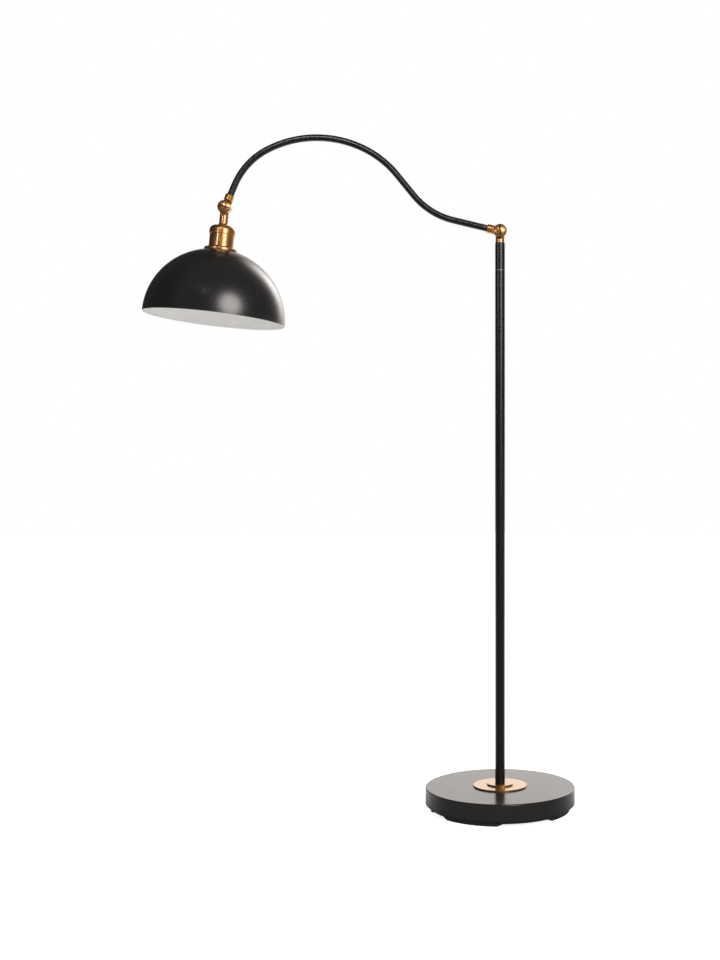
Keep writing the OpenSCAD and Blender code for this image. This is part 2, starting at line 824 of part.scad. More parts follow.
module socket_cup() {
  color(brass) at_head() difference() {
    rotate_extrude() difference() {
      union() {
        translate([0, cup_top]) square([cup_r, flange_top - cup_top]);
        translate([0, flange_top - cup_foot_r]) square([cup_r + cup_foot_r, cup_foot_r]);
      }
      translate([cup_r + cup_foot_r, flange_top - cup_foot_r]) circle(cup_foot_r);
    }
    translate([0, 0, cup_top - cut]) cylinder(r = cup_r - cup_wall, h = cup_lap + cup_h + 2 * cut);
  }
}

module shade_flange() {
  color(brass) at_head() difference() {
    translate([0, 0, seat_depth]) mirror([0, 0, 1]) round_disc(flange_d / 2, flange_t, flange_edge_r);
    translate([0, 0, flange_top - cut]) cylinder(r = holder_hole_r, h = flange_t + 2 * cut);
  }
}

module lampholder() {
  color(ceramic) at_head() difference() {
    union() {
      translate([0, 0, cap_ceiling]) cylinder(d = holder_boss_d, h = holder_boss_h + cut);
      translate([0, 0, holder_top]) turned_disc(holder_d / 2, holder_mouth - holder_top, cut);
    }
    translate([0, 0, cap_ceiling - cut]) cylinder(r = nipple_d / 2 + fixed_fit, h = holder_boss_h + cut);
    translate([0, 0, cap_ceiling]) cylinder(d = holder_wire_d, h = cavity_top - cap_ceiling + cut);
    translate([0, 0, cavity_top]) cylinder(r = contact_r, h = contact_space + cut);
    translate([0, 0, shell_top])
      cylinder(r = shell_r + shell_t + fixed_fit, h = holder_mouth - shell_top + cut);
    for (s = [-1, 1]) translate([s * terminal_r, 0, holder_top - cut])
      cylinder(r = terminal_d / 2 + fixed_fit, h = terminal_l + cut);
  }
}

module screw_shell() {
  color(brass) at_head() translate([0, 0, shell_top]) ring(shell_r + shell_t, shell_r, shell_l);
}

module centre_contact() {
  strip_l = 2 * sqrt(pow(contact_r - loose_fit, 2) - pow(contact_w / 2, 2));
  rise = contact_space - 2 * contact_t;
  color(brass) at_head() translate([0, 0, cavity_top]) {
    translate([-strip_l / 2, -contact_w / 2, 0]) cube([strip_l, contact_w, contact_t]);
    translate([strip_l / 2 - contact_t, -contact_w / 2, 0]) cube([contact_t, contact_w, rise]);
    translate([-contact_w / 2, -contact_w / 2, rise - contact_t])
      cube([strip_l / 2 + contact_w / 2, contact_w, contact_t]);
    translate([0, 0, rise - contact_t]) cylinder(d = contact_w - contact_t, h = 2 * contact_t);
  }
}

module terminal_screws() {
  slot_w = 0.8;
  color(steel) at_head() for (s = [-1, 1]) translate([s * terminal_r, 0, holder_top]) difference() {
    union() {
      mirror([0, 0, 1]) round_disc(terminal_head_d / 2, terminal_head_h, terminal_head_h / 3);
      cylinder(d = terminal_d, h = terminal_l);
    }
    translate([0, 0, -terminal_head_h]) cube([terminal_head_d + cut, slot_w, terminal_head_h], center = true);
  }
}

module shade() {
  inner_r = shade_r - shade_wall;
  hem_in_r = sqrt(pow(shade_r - hem_wall, 2) - pow(hem_h, 2));
  color(black) at_head() difference() {
    intersection() {
      translate([0, 0, dome_depth]) sphere(shade_r);
      translate([0, 0, seat_depth]) cylinder(r = shade_r + cut, h = dome_depth - seat_depth);
    }
    intersection() {
      translate([0, 0, dome_depth]) sphere(inner_r);
      translate([0, 0, seat_depth + shade_wall])
        cylinder(r = shade_r, h = dome_depth - seat_depth - shade_wall - hem_h);
    }
    translate([0, 0, dome_depth - hem_h - cut]) cylinder(r = hem_in_r, h = hem_h + 2 * cut);
    translate([0, 0, seat_depth - cut]) cylinder(r = holder_hole_r, h = shade_wall + 2 * cut);
  }
}

module shade_ring() {
  ring_z = seat_depth + shade_wall;
  color(ceramic) at_head() difference() {
    translate([0, 0, ring_z]) turned_disc(shade_ring_d / 2, shade_ring_h, cut);
    translate([0, 0, ring_z - cut]) cylinder(r = holder_hole_r, h = shade_ring_h + 2 * cut);
    for (k = [0:shade_ring_notches - 1]) rotate([0, 0, 360 * k / shade_ring_notches])
      translate([shade_ring_d / 2, 0, ring_z - cut])
        cylinder(d = shade_ring_notch_w, h = shade_ring_h + 2 * cut);
  }
}

base_cover();
base_weight();
base_plate();
feet();
plate_screws();
cord_grommet();
base_rosette();
pole_seat_ring();
base_nipple();
base_washer();
base_nut();
pole_plug();
lower_pole();
pole_coupler();
upper_pole();
swivel_bush();
swivel_washer();
swivel_spindle();
swivel_nut();
swivel_tube();
elbow_neck();
elbow_screw();
elbow_nut();
elbow_spring_washer();
elbow_friction_washer();
elbow_collar();
arm_tube();
head_collar();
head_screw();
head_nut();
head_spring_washer();
head_friction_washer();
head_neck();
holder_nipple();
socket_cap();
socket_cup();
shade_flange();
lampholder();
screw_shell();
centre_contact();
terminal_screws();
shade();
shade_ring();
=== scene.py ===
import json
import math

import bmesh
import bpy
from mathutils import Matrix, Vector


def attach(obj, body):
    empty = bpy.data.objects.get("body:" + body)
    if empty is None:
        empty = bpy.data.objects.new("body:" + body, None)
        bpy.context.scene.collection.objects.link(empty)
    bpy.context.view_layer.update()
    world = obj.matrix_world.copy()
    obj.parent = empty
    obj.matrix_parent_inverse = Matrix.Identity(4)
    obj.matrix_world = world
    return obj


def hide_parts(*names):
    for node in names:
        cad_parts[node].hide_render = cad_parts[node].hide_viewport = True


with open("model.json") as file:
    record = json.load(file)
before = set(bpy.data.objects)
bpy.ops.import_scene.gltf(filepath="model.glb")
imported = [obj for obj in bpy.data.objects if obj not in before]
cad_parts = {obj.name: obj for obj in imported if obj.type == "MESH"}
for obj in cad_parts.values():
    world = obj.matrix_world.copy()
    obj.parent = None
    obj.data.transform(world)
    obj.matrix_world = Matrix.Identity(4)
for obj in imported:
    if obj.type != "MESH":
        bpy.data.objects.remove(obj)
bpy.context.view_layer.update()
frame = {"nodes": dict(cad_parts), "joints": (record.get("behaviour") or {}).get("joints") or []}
cadNodes = frame["nodes"]
scene = bpy.context.scene
mm = 0.001
print("frame loaded:", len(cadNodes), "nodes")

pivots = {joint["name"]: Vector(joint["pos_m"]) for joint in frame["joints"]}
elbowPivot = pivots["arm_tilt"]
headPivot = pivots["head_tilt"]
headTilt = math.radians(5.6)
upAxis = Vector((0, 0, 1))
screwAxis = Vector((0, 1, 0))
headAxis = Vector((-math.sin(headTilt), 0, -math.cos(headTilt)))


# shader helpers

def newMaterial(name):
    material = bpy.data.materials.new(name)
    material.use_nodes = True
    material.node_tree.nodes.clear()
    return material, material.node_tree


def addNode(tree, kind, values=None, **settings):
    made = tree.nodes.new(kind)
    for key, value in settings.items():
        setattr(made, key, value)
    for key, value in (values or {}).items():
        if isinstance(value, bpy.types.NodeSocket):
            tree.links.new(value, made.inputs[key])
        else:
            made.inputs[key].default_value = value
    return made


def objectPoint(tree, centre=(0, 0, 0), axis=upAxis):
    # object coordinates, moved and turned so that the piece's own axis is Z
    turn = Vector(axis).rotation_difference(upAxis).to_matrix()
    return addNode(tree, "ShaderNodeMapping", {
        "Vector": addNode(tree, "ShaderNodeTexCoord").outputs["Object"],
        "Location": -(turn @ Vector(centre)),
        "Rotation": turn.to_euler("XYZ"),
    }).outputs["Vector"]


def noise(tree, vector, scale, detail=3.0, distortion=0.0):  # mostly between 0.3 and 0.7
    return addNode(tree, "ShaderNodeTexNoise", {
        "Vector": vector, "Scale": scale, "Detail": detail, "Distortion": distortion,
    }).outputs["Fac"]


def spread(tree, value, low, high, fromLow=0.3, fromHigh=0.7):
    return addNode(tree, "ShaderNodeMapRange", {
        "Value": value, "From Min": fromLow, "From Max": fromHigh, "To Min": low, "To Max": high,
    }).outputs["Result"]


def calculate(tree, operation, *values):
    return addNode(tree, "ShaderNodeMath", dict(enumerate(values)), operation=operation).outputs["Value"]


def blend(tree, first, second, share):
    # a weighted mean, in which share is the first value's part
    return calculate(tree, "ADD", calculate(tree, "MULTIPLY", first, share),
                     calculate(tree, "MULTIPLY", second, 1 - share))


def mixValue(tree, factor, first, second):
    return addNode(tree, "ShaderNodeMix", {0: factor, 2: first, 3: second}).outputs[0]


def mixColour(tree, factor, first, second):
    return addNode(tree, "ShaderNodeMix", {0: factor, 6: (*first, 1), 7: (*second, 1)},
                   data_type="RGBA").outputs[2]


def bump(tree, height, depth):
    return addNode(tree, "ShaderNodeBump", {
        "Strength": 1.0, "Distance": depth, "Height": height}).outputs["Normal"]


def surface(tree, values):
    shader = addNode(tree, "ShaderNodeBsdfPrincipled", values)
    output = addNode(tree, "ShaderNodeOutputMaterial")
    tree.links.new(shader.outputs["BSDF"], output.inputs["Surface"])


def grainedFinish(name, look):
    # paint, rubber, glaze, fibre or casting: cloudy tone, fine grain, uneven gloss
    material, tree = newMaterial(name)
    point = objectPoint(tree)
    cloud = noise(tree, point, look["cloud"])
    grain = noise(tree, point, look["grain"], detail=2.0)
    tone = blend(tree, cloud, grain, share=0.6)
    surface(tree, {
        "Base Color": mixColour(tree, spread(tree, tone, 0, 1), look["dark"], look["light"]),
        "Roughness": spread(tree, tone, *look["gloss"]),
        "Metallic": look.get("metal", 0.0),
        "IOR": look.get("ior", 1.5),
        "Coat Weight": look.get("coat", 0.0),
        "Coat Roughness": look.get("coatGloss", 0.1),
        "Normal": bump(tree, grain, look["depth"]),
    })
    return material


def turnedMetal(name, centre, axis, look):
    # lathe marks run round the piece's own axis under a mottled patina
    material, tree = newMaterial(name)
    point = objectPoint(tree, centre, axis)
    parts = addNode(tree, "ShaderNodeSeparateXYZ", {"Vector": point})
    x, y, z = (parts.outputs[k] for k in range(3))
    radius = calculate(tree, "SQRT", calculate(
        tree, "ADD", calculate(tree, "MULTIPLY", x, x), calculate(tree, "MULTIPLY", y, y)))
    profile = addNode(tree, "ShaderNodeCombineXYZ", {"X": radius, "Y": z}).outputs["Vector"]
    marks = noise(tree, profile, look["marks"], detail=2.0)
    patina = noise(tree, point, look["patina"], detail=4.0, distortion=0.4)
    speckle = noise(tree, point, look["speckle"], detail=2.0)
    age = blend(tree, patina, speckle, share=0.65)
    height = blend(tree, marks, speckle, share=0.5)
    surface(tree, {
        "Base Color": mixColour(tree, spread(tree, age, 0, 1), look["dark"], look["light"]),
        "Metallic": 1.0,
        "Specular Tint": look.get("edgeTint", (1, 1, 1, 1)),
        "Roughness": spread(tree, age, *look["gloss"]),
        "Coat Weight": look.get("coat", 0.0),
        "Coat Roughness": look.get("coatGloss", 0.1),
        "Coat IOR": look.get("coatIor", 1.5),
        "Normal": bump(tree, height, look["depth"]),
    })
    return material


enamelLook = {
    "dark": (0.0055, 0.0049, 0.0046), "light": (0.0085, 0.0077, 0.0073),
    "gloss": (0.25, 0.29), "cloud": 14, "grain": 900, "depth": 0.000003, "ior": 1.70,
}
tubeLook = {
    "dark": (0.0028, 0.0026, 0.0025), "light": (0.0048, 0.0044, 0.0042),
    "gloss": (0.30, 0.33), "cloud": 30, "grain": 900, "depth": 0.0000006, "ior": 1.45,
}
baseLook = {
    "dark": (0.006, 0.0055, 0.0052), "light": (0.0095, 0.0087, 0.0082),
    "gloss": (0.18, 0.24), "cloud": 40, "grain": 520, "depth": 0.000006, "ior": 1.62,
}
whiteLook = {
    "dark": (0.82, 0.812, 0.80), "light": (0.88, 0.872, 0.86),
    "gloss": (0.24, 0.30), "cloud": 16, "grain": 900, "depth": 0.00002,
}
rubberLook = {
    "dark": (0.014, 0.014, 0.014), "light": (0.026, 0.026, 0.026),
    "gloss": (0.62, 0.78), "cloud": 60, "grain": 1400, "depth": 0.00005,
}
ironLook = {
    "dark": (0.045, 0.043, 0.041), "light": (0.095, 0.09, 0.085),
    "gloss": (0.48, 0.66), "cloud": 90, "grain": 420, "depth": 0.0003, "metal": 0.7,
}
fibreLook = {
    "dark": (0.13, 0.045, 0.025), "light": (0.21, 0.085, 0.05),
    "gloss": (0.5, 0.65), "cloud": 200, "grain": 1800, "depth": 0.00004,
}
ceramicLook = {
    "dark": (0.70, 0.67, 0.60), "light": (0.79, 0.77, 0.71),
    "gloss": (0.24, 0.32), "cloud": 50, "grain": 600, "depth": 0.00002, "coat": 0.7, "coatGloss": 0.06,
}
brassLook = {
    "dark": (0.38, 0.176, 0.046), "light": (0.46, 0.220, 0.063),
    "gloss": (0.36, 0.42), "marks": 1600, "patina": 60, "speckle": 800, "depth": 0.0000015,
    "coat": 1.0, "coatGloss": 0.14, "coatIor": 1.62, "edgeTint": (1.0, 0.95, 0.84, 1),
}
paintedSlotShadeLook = {  # painted shade: the slot's faces in nearly black brass, for the shade that falls in the recess
    "dark": (0.020, 0.011, 0.005), "light": (0.055, 0.029, 0.012),
    "gloss": (0.45, 0.6), "cloud": 400, "grain": 1800, "depth": 0.000003, "metal": 0.6,
}
contactLook = {
    "dark": (0.72, 0.50, 0.23), "light": (0.87, 0.64, 0.33),
    "gloss": (0.15, 0.24), "marks": 2400, "patina": 160, "speckle": 1200, "depth": 0.000003,
}
steelLook = {
    "dark": (0.50, 0.50, 0.49), "light": (0.69, 0.68, 0.66),
    "gloss": (0.2, 0.32), "marks": 2000, "patina": 120, "speckle": 1200, "depth": 0.000003,
}
dullSteelLook = {
    "dark": (0.34, 0.335, 0.33), "light": (0.42, 0.415, 0.41),
    "gloss": (0.38, 0.48), "marks": 2000, "patina": 120, "speckle": 1200, "depth": 0.000003,
}

blackEnamel = grainedFinish("blackEnamel", enamelLook)
tubeEnamel = grainedFinish("tubeEnamel", tubeLook)
baseEnamel = grainedFinish("baseEnamel", baseLook)
whiteEnamel = grainedFinish("whiteEnamel", whiteLook)
rubber = grainedFinish("rubber", rubberLook)
castIron = grainedFinish("castIron", ironLook)
fibre = grainedFinish("fibre", fibreLook)
ceramic = grainedFinish("ceramic", ceramicLook)
# painted shade for the screw slots
paintedSlotShade = grainedFinish("paintedSlotShade", paintedSlotShadeLook)
baseBrass = turnedMetal("baseBrass", (0, 0, 0), upAxis, brassLook)
elbowBrass = turnedMetal("elbowBrass", elbowPivot, screwAxis, brassLook)
headBrass = turnedMetal("headBrass", headPivot, screwAxis, brassLook)
socketBrass = turnedMetal("socketBrass", headPivot, headAxis, brassLook)
contactBrass = turnedMetal("contactBrass", headPivot, headAxis, contactLook)
poleSteel = turnedMetal("poleSteel", (0, 0, 0), upAxis, steelLook)
dullSteel = turnedMetal("dullSteel", (0, 0, 0), upAxis, dullSteelLook)
headSteel = turnedMetal("headSteel", headPivot, headAxis, steelLook)
elbowSteel = turnedMetal("elbowSteel", elbowPivot, screwAxis, steelLook)
headPinSteel = turnedMetal("headPinSteel", headPivot, screwAxis, steelLook)

finishes = {
    blackEnamel: ["shade"],
    tubeEnamel: ["lower_pole", "upper_pole", "swivel_tube", "arm_tube"],
    baseEnamel: ["base_cover", "base_plate"],
    rubber: ["feet", "cord_grommet"],
    castIron: ["base_weight"],
    fibre: ["elbow_friction_washer", "head_friction_washer"],
    ceramic: ["lampholder", "shade_ring"],
    baseBrass: ["base_rosette", "pole_seat_ring", "swivel_bush"],
    elbowBrass: ["elbow_neck", "elbow_screw", "elbow_nut", "elbow_collar"],
    headBrass: ["head_collar", "head_screw", "head_nut", "head_neck"],
    socketBrass: ["socket_cap", "socket_cup", "shade_flange"],
    contactBrass: ["screw_shell", "centre_contact"],
    poleSteel: ["plate_screws", "base_nipple", "base_washer", "base_nut", "pole_plug",
                "pole_coupler", "swivel_spindle", "swivel_nut"],
    dullSteel: ["swivel_washer"],
    elbowSteel: ["elbow_spring_washer"],
    headPinSteel: ["head_spring_washer"],
    headSteel: ["holder_nipple", "terminal_screws"],
}
for material, names in finishes.items():
    for name in names:
        cadNodes[name].data.materials.clear()
        cadNodes[name].data.materials.append(material)
print("materials made:", len(finishes))


# mesh helpers, for profiles in millimetres

onAxis = 1e-6  # a radius this small is a point on the axis
weldGap = 1e-5


def rounded(corners, closed=True, stepAngle=9.0):
    # corners are (radius, height, fillet) in millimetres
    made = []
    for k, (radius, height, fillet) in enumerate(corners):
        here = Vector((radius, height))
        if fillet <= 0 or (not closed and k in (0, len(corners) - 1)):
            made.append((here.x, here.y, 0))
            continue
        before = (Vector(corners[k - 1][:2]) - here).normalized()
        after = (Vector(corners[(k + 1) % len(corners)][:2]) - here).normalized()
        half = before.angle(after) / 2
        middle = here + (before + after).normalized() * (fillet / math.sin(half))
        start = here + before * (fillet / math.tan(half)) - middle
        turn = math.pi - 2 * half
        turn = math.copysign(turn, before.y * after.x - before.x * after.y)
        steps = max(3, round(math.degrees(abs(turn)) / stepAngle))
        for step in range(steps + 1):
            point = middle + Matrix.Rotation(turn * step / steps, 2) @ start
            made.append((point.x, point.y, 0))
    return made


def arc(middle, radius, fromAngle, toAngle, steps, tone=0):
    # angles from the radius direction towards height, in degrees; tone is the place of the run's material
    angles = [math.radians(fromAngle + (toAngle - fromAngle) * k / steps) for k in range(steps + 1)]
    return [(middle[0] + radius * math.cos(a), middle[1] + radius * math.sin(a), tone) for a in angles]


def spun(shell, profile, steps, closed=True, twist=None):
    # spins a profile round Z; twist(radius, height, turn) may move each point as it goes round
    rings = []
    for radius, height, _ in profile:
        if radius < onAxis:
            rings.append([shell.verts.new((0, 0, height))] * steps)
            continue
        ring = []
        for k in range(steps):
            r, z = (radius, height) if twist is None else twist(radius, height, k / steps)
            a = 2 * math.pi * k / steps
            ring.append(shell.verts.new((r * math.cos(a), r * math.sin(a), z)))
        rings.append(ring)
    for k in range(len(rings) if closed else len(rings) - 1):
        near, far = rings[k], rings[(k + 1) % len(rings)]
        for j in range(steps):
            n = (j + 1) % steps
            corners = list(dict.fromkeys((near[j], near[n], far[n], far[j])))
            if len(corners) > 2:
                shell.faces.new(corners).material_index = profile[k][2]


def shadeEvenly(made, sharp):
    # smooth, apart from the edges that turn by more than sharp degrees
    made.data.shade_smooth()
    made.data.set_sharp_from_angle(angle=math.radians(sharp))
    made.modifiers.new("evenShading", "WEIGHTED_NORMAL").keep_sharp = True


def finished(shell, name, place, materials, sharp=32.0):
    # a closed shell in millimetres becomes an object at the origin, its place in its mesh
    bmesh.ops.remove_doubles(shell, verts=shell.verts, dist=weldGap)
    bmesh.ops.recalc_face_normals(shell, faces=shell.faces)
    mesh = bpy.data.meshes.new(name)
    shell.to_mesh(mesh)
    shell.free()
    mesh.transform(place @ Matrix.Scale(mm, 4))
    for material in materials:
        mesh.materials.append(material)
    made = bpy.data.objects.new(name, mesh)
    scene.collection.objects.link(made)
    shadeEvenly(made, sharp)
    return made


def lathe(name, profile, place, materials, steps):
    shell = bmesh.new()
    spun(shell, profile, steps)
    return finished(shell, name, place, materials)


def fit(piece, body, finish, *standsFor):
    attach(piece, body)
    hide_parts(*standsFor)


def plainMesh(made):
    # the evaluated shape, as a mesh of its own, without its modifiers
    view = bpy.context.evaluated_depsgraph_get()
    mesh = bpy.data.meshes.new_from_object(made.evaluated_get(view), depsgraph=view)
    made.modifiers.clear()
    made.data = mesh
    return mesh


def addBlock(name, length, width, depth, place, lining=None):
    # a block to cut with; lining is the material of the faces that it leaves
    shell = bmesh.new()
    bmesh.ops.create_cube(shell, size=1.0)
    mesh = bpy.data.meshes.new(name)
    shell.to_mesh(mesh)
    shell.free()
    mesh.transform(place @ Matrix.Diagonal((length, width, depth, 1)))
    if lining:
        mesh.materials.append(lining)
    block = bpy.data.objects.new(name, mesh)
    scene.collection.objects.link(block)
    return block


def cutWith(made, block):
    cut = made.modifiers.new(block.name, "BOOLEAN")
    cut.object, cut.operation, cut.solver = block, "DIFFERENCE", "EXACT"
    cut.material_mode = "TRANSFER" if block.data.materials else "INDEX"


turnOver = Matrix.Rotation(math.pi, 4, "X")
# in the head, Z is the depth below the pivot
inHead = Matrix.Translation(headPivot) @ Matrix.Rotation(headTilt, 4, "Y") @ turnOver

# shade

shadeSize = {
    "radius": 158.0, "wall": 0.8, "seat": 36.0, "top": 99.0, "hole": 20.05,
    "hem": 4.0, "hemWall": 1.6, "hemRound": 0.45, "lipFrom": 10, "hemTo": 250, "lipSteps": 4,
    "domeSteps": 60, "around": 192,
}


def makeShade(size):
    outerR, innerR = size["radius"], size["radius"] - size["wall"]
    middle = size["top"] + math.sqrt(outerR ** 2 - size["seat"] ** 2)
    crown = -math.degrees(math.acos(size["seat"] / outerR))
    innerTop = size["top"] + size["wall"]
    innerSeat = math.sqrt(innerR ** 2 - (middle - innerTop) ** 2)
    innerCrown = -math.degrees(math.acos(innerSeat / innerR))
    hemIn = math.sqrt((outerR - size["hemWall"]) ** 2 - size["hem"] ** 2)
    hemTop = middle - size["hem"]
    hemEnd = -math.degrees(math.asin(size["hem"] / innerR))
    lip, steps = size["hemRound"], size["lipSteps"]
    black, white = 0, 1
    profile = [(size["hole"], size["top"], black)]
    profile += arc((0, middle), outerR, crown, -math.degrees(lip / outerR), size["domeSteps"], black)
    profile += arc((outerR - lip, middle - lip), lip, size["lipFrom"], 90, steps, black)[:-1]
    profile += [(outerR - lip, middle, white)]
    profile += arc((hemIn + lip, middle - lip), lip, 90, 180, steps, white)
    profile += arc((hemIn + lip, hemTop + lip), lip, 180, size["hemTo"], steps - 1, white)
    profile += arc((0, middle), innerR, hemEnd, innerCrown, size["domeSteps"], white)
    profile += [(size["hole"], innerTop, black)]
    return lathe("shadeDome", profile, inHead, [blackEnamel, whiteEnamel], size["around"])


fit(makeShade(shadeSize), "head", "black_enamel", "shade")
print("shade made")

# arm, one tube along its centre line

armRuns = [  # length and 0 for a straight, radius and angle for a bend
    (88.1, 0), (164, -37.2), (60.6, 0), (221, 23.3), (242, 54.7), (158.7, 39.5), (36.7, 0),
]
armSize = {
    "startAngle": 13.5, "inset": 20.0, "diameter": 15.0, "wall": 1.0, "around": 48,
    "step": 6.0, "straightSteps": 4,
}


def armPath(runs, size):
    # points in millimetres from the elbow pivot, in the plane of the lamp
    heading = math.radians(180 - size["startAngle"])
    x, z = size["inset"] * math.cos(heading), size["inset"] * math.sin(heading)
    points = [(x, z)]
    for length, angle in runs:
        turn = math.radians(angle)
        reach = length * abs(turn) if angle else length
        steps = max(2, round(reach / size["step"])) if angle else size["straightSteps"]
        for _ in range(steps):
            chord = reach / steps if not angle else 2 * length * math.sin(abs(turn) / steps / 2)
            x += chord * math.cos(heading + turn / steps / 2)
            z += chord * math.sin(heading + turn / steps / 2)
            heading += turn / steps
            points.append((x, z))
    return points


def treeWith(name, inputs):
    tree = bpy.data.node_groups.new(name, "GeometryNodeTree")
    for label, kind, value in inputs:
        socket = tree.interface.new_socket(label, in_out="INPUT", socket_type=kind)
        if value is not None:
            socket.default_value = value
    tree.interface.new_socket("Geometry", in_out="OUTPUT", socket_type="NodeSocketGeometry")
    return tree, addNode(tree, "NodeGroupInput").outputs


def endTree(tree, geometry):
    real = addNode(tree, "GeometryNodeRealizeInstances", {"Geometry": geometry}).outputs["Geometry"]
    group = tree.nodes.new("NodeGroupInput").outputs
    painted = addNode(tree, "GeometryNodeSetMaterial", {"Geometry": real, "Material": group["Material"]})
    addNode(tree, "NodeGroupOutput", {"Geometry": painted.outputs["Geometry"]})


def useTree(made, tree, values):
    modifier = made.modifiers.new(tree.name, "NODES")
    modifier.node_group = tree
    sockets = {item.name: item.identifier for item in tree.interface.items_tree
               if item.in_out == "INPUT"}
    for label, value in values.items():
        modifier[sockets[label]] = value


def tubeTree():
    tree, group = treeWith("tubeAlongPath", [
        ("Geometry", "NodeSocketGeometry", None), ("Radius", "NodeSocketFloat", 0.0075),
        ("Around", "NodeSocketInt", 48), ("Material", "NodeSocketMaterial", None),
    ])
    path = addNode(tree, "GeometryNodeMeshToCurve", {"Mesh": group["Geometry"]}).outputs["Curve"]
    ring = addNode(tree, "GeometryNodeCurvePrimitiveCircle", {
        "Resolution": group["Around"], "Radius": group["Radius"]}).outputs["Curve"]
    tube = addNode(tree, "GeometryNodeCurveToMesh", {"Curve": path, "Profile Curve": ring}).outputs["Mesh"]
    endTree(tree, addNode(tree, "GeometryNodeSetShadeSmooth", {"Geometry": tube}).outputs["Geometry"])
    return tree


def makeArm(runs, size):
    mesh = bpy.data.meshes.new("armTube")
    points = [elbowPivot + Vector((x, 0, z)) * mm for x, z in armPath(runs, size)]
    mesh.from_pydata(points, [(k, k + 1) for k in range(len(points) - 1)], [])
    made = bpy.data.objects.new("armTube", mesh)
    scene.collection.objects.link(made)
    useTree(made, tubeTree(), {
        "Radius": size["diameter"] / 2 * mm, "Around": size["around"], "Material": tubeEnamel})
    plainMesh(made)
    shell = bmesh.new()
    shell.from_mesh(made.data)
    bmesh.ops.recalc_face_normals(shell, faces=shell.faces)
    if shell.faces[0].normal.dot(shell.faces[0].calc_center_median() - points[0]) < 0:
        bmesh.ops.reverse_faces(shell, faces=shell.faces)
    shell.to_mesh(made.data)
    shell.free()
    wall = made.modifiers.new("wall", "SOLIDIFY")
    wall.thickness, wall.offset = size["wall"] * mm, -1
    plainMesh(made)
    return made


fit(makeArm(armRuns, armSize), "arm", "black_enamel", "arm_tube")
print("arm made")

# socket cap, cup and flange under the head knuckle

socketSize = {
    "neckEnd": 36.0, "neckR": 9.9, "bore": 5.3, "flare": 6.0, "flareWide": 1.5, "flareSteps": 14,
    "flareGap": 0.2, "shoulder": 11.0, "capR": 29.3, "lip": 62.0, "lipRound": 0.9, "lap": 0.3,
    "ceiling": 44.5, "capIn": 26.4, "cupTop": 56.0, "cupR": 27.7, "cupWall": 1.3, "cupEnd": 92.5,
    "edge": 0.3, "foot": 3.0, "footSteps": 8, "flangeR": 37.25, "flangeEnd": 99.0, "flangeRound": 2.5,
    "flangeEdge": 0.4, "holder": 20.05, "around": 128,
}


def makeSocket(size):
    neck, flare, end = size["neckR"], size["flare"], size["neckEnd"]
    shoulderZ, lapR = end + flare, size["cupR"] + size["lap"]
    wide = size["flareWide"]  # the flare reaches further out than it is deep
    curve = arc((neck + flare, end), flare, 180, 90, size["flareSteps"])
    cap = [(size["bore"], end, 0)] + [(neck + (r - neck) * wide, z, tone) for r, z, tone in curve]
    cap += rounded([
        (neck + flare * wide + size["flareGap"], shoulderZ, 0), (size["capR"], shoulderZ, size["shoulder"]),
        (size["capR"], size["lip"], size["lipRound"]), (lapR, size["lip"], size["edge"]),
        (lapR, size["cupTop"], 0), (size["capIn"], size["cupTop"], 0),
        (size["capIn"], size["ceiling"], size["shoulder"] - size["cupWall"]),
        (size["bore"], size["ceiling"], 0),
    ])
    fit(lathe("socketCap", cap, inHead, [socketBrass], size["around"]), "head", "brass_satin", "socket_cap")
    inner, foot, cupEnd = size["cupR"] - size["cupWall"], size["foot"], size["cupEnd"]
    cup = rounded([(inner, size["cupTop"], size["edge"]), (size["cupR"], size["cupTop"], size["edge"]),
                   (size["cupR"], cupEnd - foot, 0)], closed=False)
    cup += arc((size["cupR"] + foot, cupEnd - foot), foot, 180, 90, size["footSteps"])[1:]
    cup += [(inner, cupEnd, 0)]
    fit(lathe("socketCup", cup, inHead, [socketBrass], size["around"]), "head", "brass_satin", "socket_cup")
    flange = rounded([
        (size["holder"], cupEnd, 0), (size["flangeR"], cupEnd, size["flangeRound"]),
        (size["flangeR"], size["flangeEnd"], size["flangeEdge"]), (size["holder"], size["flangeEnd"], 0),
    ])
    fit(lathe("shadeFlange", flange, inHead, [socketBrass], size["around"]),
        "head", "brass_satin", "shade_flange")


makeSocket(socketSize)
print("socket made")

# threads and hexagons, as twists of a spun profile

halfSide = 30  # degrees, half of what one side of a hexagon spans
nutShape = {
    "boreEdge": 0.4, "boreZone": 0.6, "faceShare": 0.97, "turnedShare": 0.985, "turnedAngle": 30,
    "heightStep": 0.12, "riseSpare": 0.1, "around": 144, "sharp": 24,
}
tubeThread = {
    "cone": 0.5, "coneHeight": 0.4, "depthShare": 0.55, "skin": 0.2, "perPitch": 5,
    "around": 32, "sharp": 60,
}


def threadTwist(pitch, depth, overR, low, high):
    # a rounded thread cut into what lies beyond overR, between two heights
    def twist(radius, height, turn):
        fade = min(1.0, max(0.0, (height - low) / pitch), max(0.0, (high - height) / pitch))
        if radius < overR or fade == 0:
            return radius, height
        wave = 0.5 - 0.5 * math.cos(2 * math.pi * (height / pitch - turn))
        return radius - depth * fade * wave, height
    return twist


def hexTwist(flat, thickness, bore, shape):
    # a hexagon whose corners are turned off towards both faces; flat is from its middle to a side
    slope = 1 / math.tan(math.radians(shape["turnedAngle"]))

    def twist(radius, height, turn):
        if radius < bore + shape["boreZone"]:
            return radius, height
        fromFlat = (turn * 360 + halfSide) % (2 * halfSide) - halfSide
        corner = flat / math.cos(math.radians(fromFlat))
        turned = flat * shape["turnedShare"] + slope * min(height, thickness - height)
        return min(corner, turned, radius), height
    return twist


def heights(low, high, step):
    count = max(1, round((high - low) / step))
    return [low + (high - low) * k / count for k in range(count + 1)]


